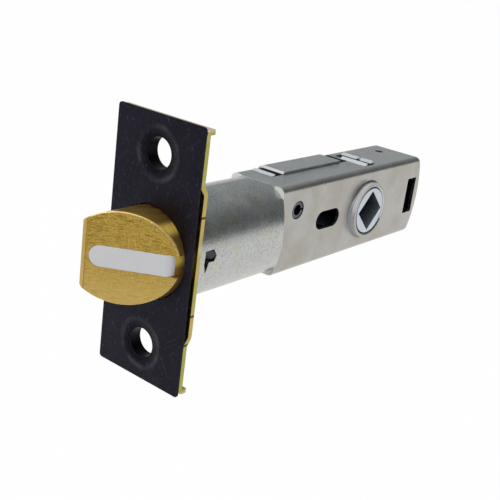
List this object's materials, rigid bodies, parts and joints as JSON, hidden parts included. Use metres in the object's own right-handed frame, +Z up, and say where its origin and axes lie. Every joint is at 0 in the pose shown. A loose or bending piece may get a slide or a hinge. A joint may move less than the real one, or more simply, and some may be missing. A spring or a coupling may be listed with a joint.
{
  "type": "lever passage latch",
  "caption": "Tubular passage latch with a bevelled spring bolt, a screw-fixed faceplate and a square-drive hub that draws the bolt into a folded sheet-metal case.",
  "frame": {"origin": "on the bolt's axis at the front of the faceplate, midway between the two screw holes", "axes": "+Y runs into the door along the bolt's axis, +Z is up along the faceplate, +X is across the door's thickness and the spindle's axis"},
  "size_m": [0.0238, 0.1088, 0.0572],
  "materials": {
    "black_bronze": "near-black bronze coating, satin",
    "yellow_zinc": "yellow passivated zinc on steel strip",
    "zinc_case": "clear zinc plate on folded steel sheet",
    "satin_brass": "satin, linished along the bevel",
    "white_nylon": "moulded, matte",
    "bright_steel": "bright zinc plate",
    "spring_steel": "drawn wire",
    "hub_metal": "die-cast, bare"
  },
  "bodies": {
    "case": {"barrel_case": "zinc_case", "faceplate": "black_bronze", "back_plate": "yellow_zinc", "spring_seat": "bright_steel", "spring_pin": "bright_steel", "bolt_spring": "spring_steel"},
    "bolt": {"latch_bolt": "satin_brass", "bolt_insert": "white_nylon", "bar_pin": "bright_steel", "draw_bar": "bright_steel", "retractor": "bright_steel"},
    "hub": {"hub": "hub_metal"}
  },
  "joints": [
    {"name": "hub_turn", "type": "hinge", "parent": "case", "child": "hub", "pos_m": [0, 0.06985, 0], "axis": [1, 0, 0], "range_deg": [0, 76.84]},
    {"name": "bolt_slide", "type": "slide", "parent": "case", "child": "bolt", "axis": [0, 1, 0], "range_m": [0, 0.011], "stiffness_N_per_m": 300, "springref_m": -0.015, "deforming": ["bolt_spring"]}
  ],
  "couplings": [
    {"joint": "hub_turn", "follows": "bolt_slide", "rad_per_m": 121.9}
  ]
}
